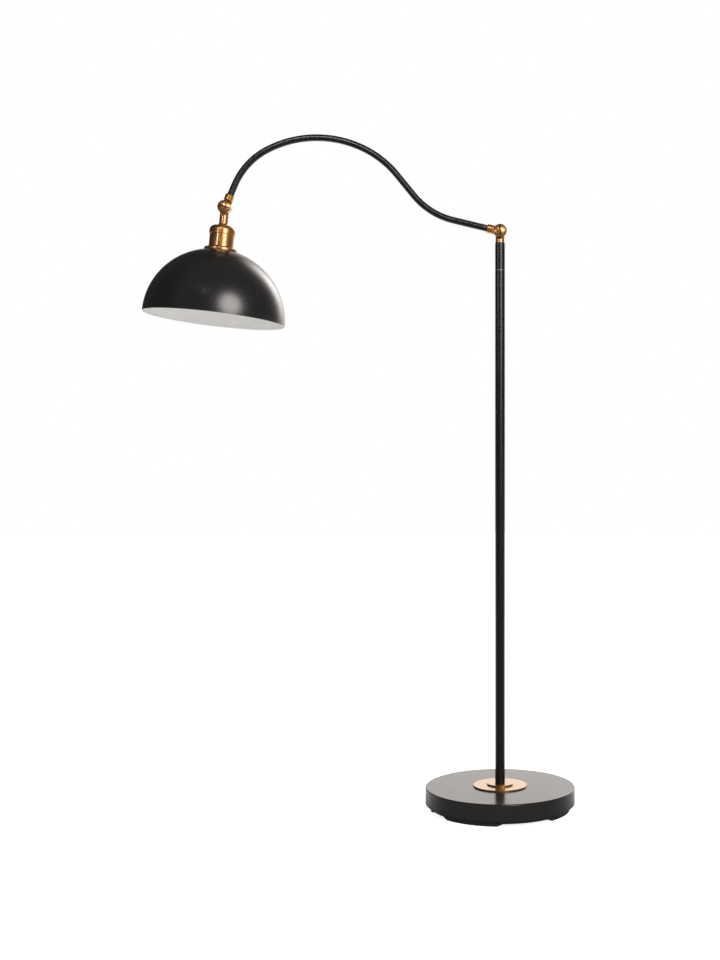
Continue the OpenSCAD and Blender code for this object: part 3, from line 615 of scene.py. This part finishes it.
def makeNut(name, place, material, size, body, finish, node, shape=nutShape):
    flat, bore, height = size["acrossFlats"] / 2, size["bore"], size["height"]
    edge, step = shape["boreEdge"], shape["heightStep"]
    corner = flat / math.cos(math.radians(halfSide))
    rise = (corner - flat) * math.tan(math.radians(shape["turnedAngle"])) + shape["riseSpare"]
    profile = [(bore + edge, 0, 0), (flat * shape["faceShare"], 0, 0)]
    profile += [(corner, z, 0) for z in heights(0, rise, step) + heights(height - rise, height, step)]
    profile += [(flat * shape["faceShare"], height, 0), (bore + edge, height, 0)]
    profile += [(bore, height - edge, 0), (bore, edge, 0)]
    shell = bmesh.new()
    spun(shell, profile, shape["around"], twist=hexTwist(flat, height, bore, shape))
    onFace = place @ Matrix.Translation((0, 0, size["face"] * mm))
    fit(finished(shell, name, onFace, [material], shape["sharp"]), body, finish, node)


def makeThreadedTube(name, place, material, size, body, node, shape=tubeThread):
    radius, bore, low, high, pitch = (size[key] for key in ("radius", "bore", "low", "high", "pitch"))
    cone, coneHeight = radius - shape["cone"], shape["coneHeight"]
    threaded = heights(low + coneHeight, high - coneHeight, pitch / shape["perPitch"])
    profile = [(bore, low, 0), (cone, low, 0)] + [(radius, z, 0) for z in threaded]
    profile += [(cone, high, 0), (bore, high, 0)]
    shell = bmesh.new()
    spun(shell, profile, shape["around"],
         twist=threadTwist(pitch, shape["depthShare"] * pitch, radius - shape["skin"], low, high))
    fit(finished(shell, name, place, [material], shape["sharp"]), body, "plated_steel", node)


# slotted, domed screws through both knuckles

facingFront = Matrix.Rotation(math.pi / 2, 4, "X")  # Z points at the viewer
facingBack = Matrix.Rotation(-math.pi / 2, 4, "X")
knuckleScrew = {
    "headR": 15.0, "under": 9.3, "rim": 2.0, "dome": 5.0, "rimRound": 0.5, "crownAngle": 88,
    "rimAngle": 1.2, "domeSteps": 26, "shankR": 3.0, "tail": -14.5, "tailCone": 0.5, "threadFrom": -8.2,
    "pitch": 1.0, "threadDepth": 0.5, "threadStep": 0.2, "skin": 0.1, "slotLength": 36.0, "slotWidth": 3.0,
    "slotDepth": 3.4, "slotRound": 0.35, "roundSteps": 3, "roundAbove": 50, "around": 128, "sharp": 40,
}
knuckleNut = {"acrossFlats": 11.0, "bore": 3.05, "height": 5.0, "face": 8.5}
knuckles = {  # pivot, angle of the slot, brass, and the body that carries the screw
    "elbow": (elbowPivot, 96, elbowBrass, "swivel"),
    "head": (headPivot, -13, headBrass, "arm"),
}


def makeKnuckleScrew(name, pivot, slotAngle, material, body, node, size):
    head, shank, under, tail = size["headR"], size["shankR"], size["under"], size["tail"]
    threadFrom, rimTop = size["threadFrom"], under + size["rim"]
    domeR = (head ** 2 + size["dome"] ** 2) / (2 * size["dome"])
    apex = rimTop + size["dome"]
    edge = math.degrees(math.acos(head / domeR))
    profile = [(0, apex, 0)]
    profile += arc((0, apex - domeR), domeR, size["crownAngle"], edge + size["rimAngle"], size["domeSteps"])
    profile += rounded([
        (head, rimTop, 0), (head, under, size["rimRound"]), (shank, under, 0)], closed=False)
    threaded = heights(tail + size["tailCone"], threadFrom, size["threadStep"])
    profile += [(shank, z, 0) for z in reversed(threaded)]
    profile += [(shank - size["tailCone"], tail, 0), (0, tail, 0)]
    shell = bmesh.new()
    twist = threadTwist(size["pitch"], size["threadDepth"], shank - size["skin"], tail, threadFrom)
    spun(shell, profile, size["around"], closed=False,
         twist=lambda r, z, turn: twist(r, z, turn) if z < threadFrom else (r, z))
    made = finished(shell, name, Matrix.Scale(1 / mm, 4), [material], size["sharp"])
    made.modifiers.clear()
    across = Matrix.Translation((0, 0, apex)) @ Matrix.Rotation(math.radians(slotAngle), 4, "Z")
    # the slot's cut faces take the painted shade, nearly black brass
    block = addBlock("slotCutter", size["slotLength"], size["slotWidth"], 2 * size["slotDepth"],
                     across, paintedSlotShade)
    cutWith(made, block)
    soft = made.modifiers.new("softEdges", "BEVEL")
    soft.width, soft.segments, soft.limit_method = size["slotRound"], size["roundSteps"], "ANGLE"
    soft.angle_limit = math.radians(size["roundAbove"])
    plainMesh(made).transform(Matrix.Translation(pivot) @ facingFront @ Matrix.Scale(mm, 4))
    bpy.data.objects.remove(block)
    shadeEvenly(made, size["sharp"])
    fit(made, body, "brass_satin", node)


for label, (pivot, slotAngle, brass, body) in knuckles.items():
    makeKnuckleScrew(label + "Screw", pivot, slotAngle, brass, body, label + "_screw", knuckleScrew)
for label, (pivot, slotAngle, brass, body) in knuckles.items():
    makeNut(label + "Nut", Matrix.Translation(pivot) @ facingBack, brass, knuckleNut, body,
            "brass_satin", label + "_nut")
print("knuckle screws made")

# lampholder: glazed body with an outside thread, the shade ring on it, the rolled shell inside

holderSize = {
    "bossR": 10.0, "bossTop": 44.5, "bodyR": 20.0, "bodyTop": 50.5, "mouth": 125.0, "round": 1.2,
    "nippleR": 5.05, "wireR": 3.0, "contactR": 12.0, "contactTop": 91.0, "shellR": 13.85, "shellTop": 98.0,
    "threadFrom": 100.5, "threadTo": 122.5, "pitch": 2.5, "perPitch": 8, "threadDepth": 0.8, "skin": 0.1,
    "crispEdge": 0.3, "fineEdge": 0.4, "softEdge": 0.6, "fullEdge": 0.8, "around": 96, "sharp": 50,
}
ringSize = {
    "outerR": 28.0, "innerR": 20.05, "top": 99.8, "height": 8.0, "round": 1.0, "topEdge": 0.3,
    "footEdge": 0.5, "notches": 8, "notchR": 2.5, "threadZone": 1.0, "around": 256, "sharp": 40,
}
shellSize = {
    "outerR": 13.8, "wall": 0.5, "top": 98.0, "end": 122.0, "pitch": 3.63, "perPitch": 10, "wave": 0.8,
    "runIn": 1.0, "runOut": 1.5, "around": 72, "sharp": 50,
}
holderNipple = {"radius": 5.0, "bore": 3.5, "low": 26.0, "high": 50.5, "pitch": 1.0}


def makeLampholder(size):
    bodyR, bodyTop, bossR, mouth = size["bodyR"], size["bodyTop"], size["bossR"], size["mouth"]
    crisp, fine, soft, full = (size[key] for key in ("crispEdge", "fineEdge", "softEdge", "fullEdge"))
    threadFrom, threadTo = size["threadFrom"], size["threadTo"]
    body = rounded([(size["nippleR"], size["bossTop"], 0), (bossR, size["bossTop"], soft),
                    (bossR, bodyTop, full), (bodyR, bodyTop, size["round"])])
    body += [(bodyR, z, 0) for z in heights(threadFrom, threadTo, size["pitch"] / size["perPitch"])]
    body += rounded([
        (bodyR, threadTo + size["skin"], 0), (bodyR, mouth, size["round"]),
        (size["shellR"], mouth, full), (size["shellR"], size["shellTop"], crisp),
        (size["contactR"], size["shellTop"], fine), (size["contactR"], size["contactTop"], soft),
        (size["wireR"], size["contactTop"], fine), (size["wireR"], bodyTop, 0),
        (size["nippleR"], bodyTop, 0),
    ], closed=False)
    shell = bmesh.new()
    spun(shell, body, size["around"], twist=threadTwist(
        size["pitch"], size["threadDepth"], bodyR - size["skin"], threadFrom, threadTo))
    fit(finished(shell, "lampholderBody", inHead, [ceramic], size["sharp"]),
        "head", "ceramic", "lampholder")


def makeShadeRing(size):
    top, end, r = size["top"], size["top"] + size["height"], size["outerR"]
    profile = rounded([(size["innerR"], top, size["topEdge"]), (r, top, size["round"]),
                       (r, end, size["round"]), (size["innerR"], end, size["footEdge"])])

    def notched(radius, height, turn):
        along = ((turn * size["notches"] + 0.5) % 1 - 0.5) * 2 * math.pi / size["notches"] * r
        if radius < size["innerR"] + size["threadZone"] or abs(along) >= size["notchR"]:
            return radius, height
        return min(radius, r - math.sqrt(size["notchR"] ** 2 - along ** 2)), height
    shell = bmesh.new()
    spun(shell, profile, size["around"], twist=notched)
    fit(finished(shell, "shadeRing", inHead, [ceramic], size["sharp"]), "head", "ceramic", "shade_ring")


def makeScrewShell(size):
    levels = heights(size["top"], size["end"], size["pitch"] / size["perPitch"])
    outer = [(size["outerR"], z, 0) for z in levels]
    inner = [(size["outerR"] - size["wall"], z, 0) for z in reversed(levels)]
    shell = bmesh.new()
    spun(shell, outer + inner, size["around"], twist=threadTwist(
        size["pitch"], size["wave"], 0, size["top"] - size["runIn"], size["end"] - size["runOut"]))
    fit(finished(shell, "screwShell", inHead, [contactBrass], size["sharp"]),
        "head", "contact_brass", "screw_shell")


makeLampholder(holderSize)
makeShadeRing(ringSize)
makeScrewShell(shellSize)
makeThreadedTube("holderNipple", inHead, headSteel, holderNipple, "head", "holder_nipple")
print("lampholder made")

# under the base: nut, threaded tube, plate screws, and the grommet at the back

inStand = Matrix.Identity(4)
baseNut = {"acrossFlats": 17.0, "bore": 5.05, "height": 5.0, "face": 9.5}
baseNipple = {"radius": 5.0, "bore": 3.5, "low": 8.5, "high": 78.3, "pitch": 1.0}
makeNut("baseNut", inStand, poleSteel, baseNut, "stand", "plated_steel", "base_nut")
makeThreadedTube("baseNipple", inStand, poleSteel, baseNipple, "stand", "base_nipple")

plateScrew = {
    "circleR": 120.0, "count": 4, "firstAngle": 45.0, "under": 5.5, "headR": 4.5, "headHeight": 2.5,
    "crownShare": 0.55, "shoulderShare": 0.75, "shoulderRound": 0.75, "underRound": 0.2, "shankR": 2.5,
    "length": 16.0, "threadFrom": 0.5, "threadGap": 0.6, "pitch": 0.8, "perPitch": 5, "threadDepth": 0.4,
    "skin": 0.1, "tailCone": 0.5, "crossWidth": 1.2, "crossLength": 5.0, "crossDepth": 1.2, "around": 32,
    "sharp": 40, "seed": 5,
}


def screwShape(size):
    # one pan-head screw, head down, the underside of its head at the origin
    head, headR, shank, length = size["headHeight"], size["headR"], size["shankR"], size["length"]
    profile = [(0, -head, 0)] + rounded([
        (headR * size["crownShare"], -head, 0),
        (headR, -head * size["shoulderShare"], size["shoulderRound"]),
        (headR, 0, size["underRound"]), (shank, 0, 0)], closed=False)
    threaded = heights(size["threadGap"], length - size["threadGap"], size["pitch"] / size["perPitch"])
    profile += [(shank, z, 0) for z in threaded] + [(shank - size["tailCone"], length, 0), (0, length, 0)]
    shell = bmesh.new()
    spun(shell, profile, size["around"], closed=False, twist=threadTwist(
        size["pitch"], size["threadDepth"], shank - size["skin"], size["threadFrom"], length))
    made = finished(shell, "plateScrewShape", inStand, [poleSteel], size["sharp"])
    made.modifiers.clear()
    long, wide, deep = size["crossLength"] * mm, size["crossWidth"] * mm, 2 * size["crossDepth"] * mm
    for across, along in ((long, wide), (wide, long)):
        block = addBlock("crossCutter", across, along, deep, Matrix.Translation((0, 0, -head * mm)))
        cutWith(made, block)
        plainMesh(made)
        bpy.data.objects.remove(block)
    return made


def ringOfPieces():
    tree, group = treeWith("ringOfPieces", [
        ("Geometry", "NodeSocketGeometry", None), ("Piece", "NodeSocketObject", None),
        ("Count", "NodeSocketInt", 4), ("Circle Radius", "NodeSocketFloat", 0.12),
        ("First Angle", "NodeSocketFloat", 0.0), ("Height", "NodeSocketFloat", 0.0),
        ("Seed", "NodeSocketInt", 1), ("Material", "NodeSocketMaterial", None),
    ])
    circle = addNode(tree, "GeometryNodeMeshCircle", {
        "Vertices": group["Count"], "Radius": group["Circle Radius"]}).outputs["Mesh"]
    turned = addNode(tree, "GeometryNodeTransform", {
        "Geometry": circle,
        "Rotation": addNode(tree, "ShaderNodeCombineXYZ", {"Z": group["First Angle"]}).outputs["Vector"],
        "Translation": addNode(tree, "ShaderNodeCombineXYZ", {"Z": group["Height"]}).outputs["Vector"],
    }).outputs["Geometry"]
    piece = addNode(tree, "GeometryNodeObjectInfo", {"Object": group["Piece"]}).outputs["Geometry"]
    spin = addNode(tree, "FunctionNodeRandomValue", {
        "Min": (0, 0, 0), "Max": (0, 0, math.pi), "Seed": group["Seed"],
    }, data_type="FLOAT_VECTOR").outputs["Value"]
    placed = addNode(tree, "GeometryNodeInstanceOnPoints", {
        "Points": turned, "Instance": piece, "Rotation": spin}).outputs["Instances"]
    endTree(tree, placed)
    return tree


def makePlateScrews(size):
    shape = screwShape(size)
    made = bpy.data.objects.new("plateScrews", bpy.data.meshes.new("plateScrews"))
    scene.collection.objects.link(made)
    useTree(made, ringOfPieces(), {
        "Piece": shape, "Count": size["count"], "Circle Radius": size["circleR"] * mm,
        "First Angle": math.radians(size["firstAngle"]), "Height": size["under"] * mm,
        "Seed": size["seed"], "Material": poleSteel})
    plainMesh(made)
    bpy.data.objects.remove(shape)
    fit(made, "stand", "plated_steel", "plate_screws")


makePlateScrews(plateScrew)

grommetSize = {
    "boreR": 3.5, "neckR": 5.25, "flangeR": 7.5, "height": 37.25, "inner": 164.23, "neckFrom": 166.23,
    "neckTo": 168.1, "outer": 170.1, "boreRound": 0.5, "innerRound": 0.7, "grooveRound": 0.2,
    "faceRound": 0.25, "outerRound": 1.4, "around": 72,
}


def makeGrommet(size):
    boreR, neckR, flangeR, groove = size["boreR"], size["neckR"], size["flangeR"], size["grooveRound"]
    profile = rounded([
        (boreR, size["inner"], size["boreRound"]), (flangeR, size["inner"], size["innerRound"]),
        (flangeR, size["neckFrom"], groove), (neckR, size["neckFrom"], groove),
        (neckR, size["neckTo"], groove), (flangeR, size["neckTo"], size["faceRound"]),
        (flangeR, size["outer"], size["outerRound"]), (boreR, size["outer"], size["boreRound"])])
    place = Matrix.Translation((0, 0, size["height"] * mm)) @ facingBack
    fit(lathe("cordGrommet", profile, place, [rubber], size["around"]),
        "stand", "rubber", "cord_grommet")


makeGrommet(grommetSize)
print("base fittings made")


# studio

studio = {
    "eye": Vector((-0.030, -2.84, 0.738)), "lens": 47.3, "sensor": 36.0, "shift": -0.132,
    "sight": (0.05, 60), "ambient": 0.8, "white": 1.0, "room": 0.13, "dusk": 0.05, "duskEdge": (0.2, 0.5),
    "sweepAxis": (0.253, 0.945, 0.208), "sweepEdge": (0.82, 0.91),
    "floorSize": 30.0, "floorTone": 0.80, "floorFront": 0.22, "floorGlow": 0.80, "floorBack": (-0.1, 0.5),
    "floorRough": 0.9,
}
warmWhite = (1.0, 0.965, 0.945)
warmRoom = (1.0, 0.94, 0.895)  # what reflections see
softboxes = {
    # aimed at, azimuth from the front towards +X, elevation, distance, width, height, brightness
    # and fan; angles in degrees
    "keyBox": (Vector((-0.58, -0.14, 1.11)), 38.3, 17.6, 3.3, 2.0, 2.0, 7.2, 180),
    "backBox": (Vector((-0.49, 0, 1.02)), 154, 28, 3.2, 1.15, 3.3, 5.8, 50),
    "backSheet": (Vector((0.0, 0, 0.1)), 180, 20, 4.0, 1.6, 2.6, 0.5, 180),
    "headStrip": (Vector((-0.63, -0.02, 1.335)), -29, 11.5, 1.0, 0.2, 0.28, 24.0, 12),
    "poleStrip": (Vector((0.0, 0, 1.24)), -50, 10, 1.4, 0.24, 0.5, 13.0, 24),
    "armStrip": (Vector((-0.35, 0, 1.49)), -6, 28, 1.3, 0.8, 0.36, 40.0, 23),
}


def aimed(target, azimuth, elevation, distance):
    a, e = math.radians(azimuth), math.radians(elevation)
    out = Vector((math.sin(a) * math.cos(e), -math.cos(a) * math.cos(e), math.sin(e)))
    return Matrix.Translation(target + out * distance) @ out.to_track_quat("Z", "Y").to_matrix().to_4x4()


def addSoftbox(name, target, azimuth, elevation, distance, width, height, brightness, fan):
    circular = width == height  # a box as wide as it is high is a round one
    data = bpy.data.lights.new(name, "AREA")
    data.shape = "ELLIPSE" if circular else "RECTANGLE"
    data.size, data.size_y = width, height
    data.spread = math.radians(fan)
    data.color = warmWhite
    face = width * height * (math.pi / 4 if circular else 1)
    half = math.radians(fan) / 2
    gridded = 1 if fan == 180 else (math.tan(half) - half) / math.tan(half)  # a grid narrows the fan
    data.energy = brightness * math.pi * face * gridded
    lamp = bpy.data.objects.new(name, data)
    lamp.matrix_world = aimed(target, azimuth, elevation, distance)
    lamp.visible_camera = False
    scene.collection.objects.link(lamp)


for name, values in softboxes.items():
    addSoftbox(name, *values)


def mirroredRays(tree, path):
    return calculate(tree, "MAXIMUM", path["Is Glossy Ray"], path["Is Transmission Ray"])


# the floor glows white for the camera, and behind the lamp for reflections too; in front they see it
# grey and without the glow
floorPaint, floorTree = newMaterial("floorPaint")
path = addNode(floorTree, "ShaderNodeLightPath").outputs
depthY = addNode(floorTree, "ShaderNodeSeparateXYZ", {
    "Vector": addNode(floorTree, "ShaderNodeNewGeometry").outputs["Position"]}).outputs["Y"]
behind = spread(floorTree, depthY, 0, 1, *studio["floorBack"])
glowing = calculate(floorTree, "MAXIMUM", path["Is Camera Ray"],
                    calculate(floorTree, "MULTIPLY", mirroredRays(floorTree, path), behind))
seen = mixValue(floorTree, mirroredRays(floorTree, path), studio["floorTone"],
                mixValue(floorTree, behind, studio["floorFront"], studio["floorTone"]))
grey = addNode(floorTree, "ShaderNodeCombineColor", {"Red": seen, "Green": seen, "Blue": seen})
surface(floorTree, {
    "Base Color": grey.outputs["Color"], "Roughness": studio["floorRough"], "Specular IOR Level": 0.0,
    "Emission Color": (1, 1, 1, 1),
    "Emission Strength": calculate(floorTree, "MULTIPLY", glowing, studio["floorGlow"]),
})
floorMesh = bpy.data.meshes.new("floor")
reach = studio["floorSize"] / 2
floorMesh.from_pydata([(-reach, -reach, 0), (reach, -reach, 0), (reach, reach, 0), (-reach, reach, 0)],
                      [], [(0, 1, 2, 3)])
floorMesh.materials.append(floorPaint)
floor = bpy.data.objects.new("floor", floorMesh)
scene.collection.objects.link(floor)

# the world is white to the camera; reflections see a white sweep behind the lamp, a dim room in front of it
# and a dark flat behind it on the left
world = bpy.data.worlds.new("studioWorld")
world.use_nodes = True
room = world.node_tree
room.nodes.clear()
path = addNode(room, "ShaderNodeLightPath").outputs
outward = addNode(room, "ShaderNodeTexCoord").outputs["Generated"]
across = addNode(room, "ShaderNodeSeparateXYZ", {"Vector": outward}).outputs
ahead = addNode(room, "ShaderNodeVectorMath", {0: outward, 1: studio["sweepAxis"]},
                operation="DOT_PRODUCT").outputs["Value"]
backLeft = spread(room, calculate(room, "SUBTRACT", across["Y"], across["X"]), 0, 1, *studio["duskEdge"])
dim = mixValue(room, backLeft, studio["room"], studio["dusk"])
mirrored = mixValue(room, spread(room, ahead, 0, 1, *studio["sweepEdge"]), dim, studio["white"])
strength = mixValue(room, mirroredRays(room, path), studio["ambient"], mirrored)
strength = mixValue(room, path["Is Camera Ray"], strength, studio["white"])
tint = mixColour(room, mirroredRays(room, path), (1, 1, 1), warmRoom)
worldLight = addNode(room, "ShaderNodeBackground", {"Color": tint, "Strength": strength})
worldOutput = addNode(room, "ShaderNodeOutputWorld")
room.links.new(worldLight.outputs["Background"], worldOutput.inputs["Surface"])
scene.world = world

lens = bpy.data.cameras.new("camera")
lens.sensor_width = studio["sensor"]
lens.lens = studio["lens"]
lens.shift_x = studio["shift"]
lens.clip_start, lens.clip_end = studio["sight"]
camera = bpy.data.objects.new("camera", lens)
camera.location = studio["eye"]
camera.rotation_euler = (math.radians(90), 0, 0)
scene.collection.objects.link(camera)
scene.camera = camera
scene.view_settings.view_transform = "Standard"
print("studio set")
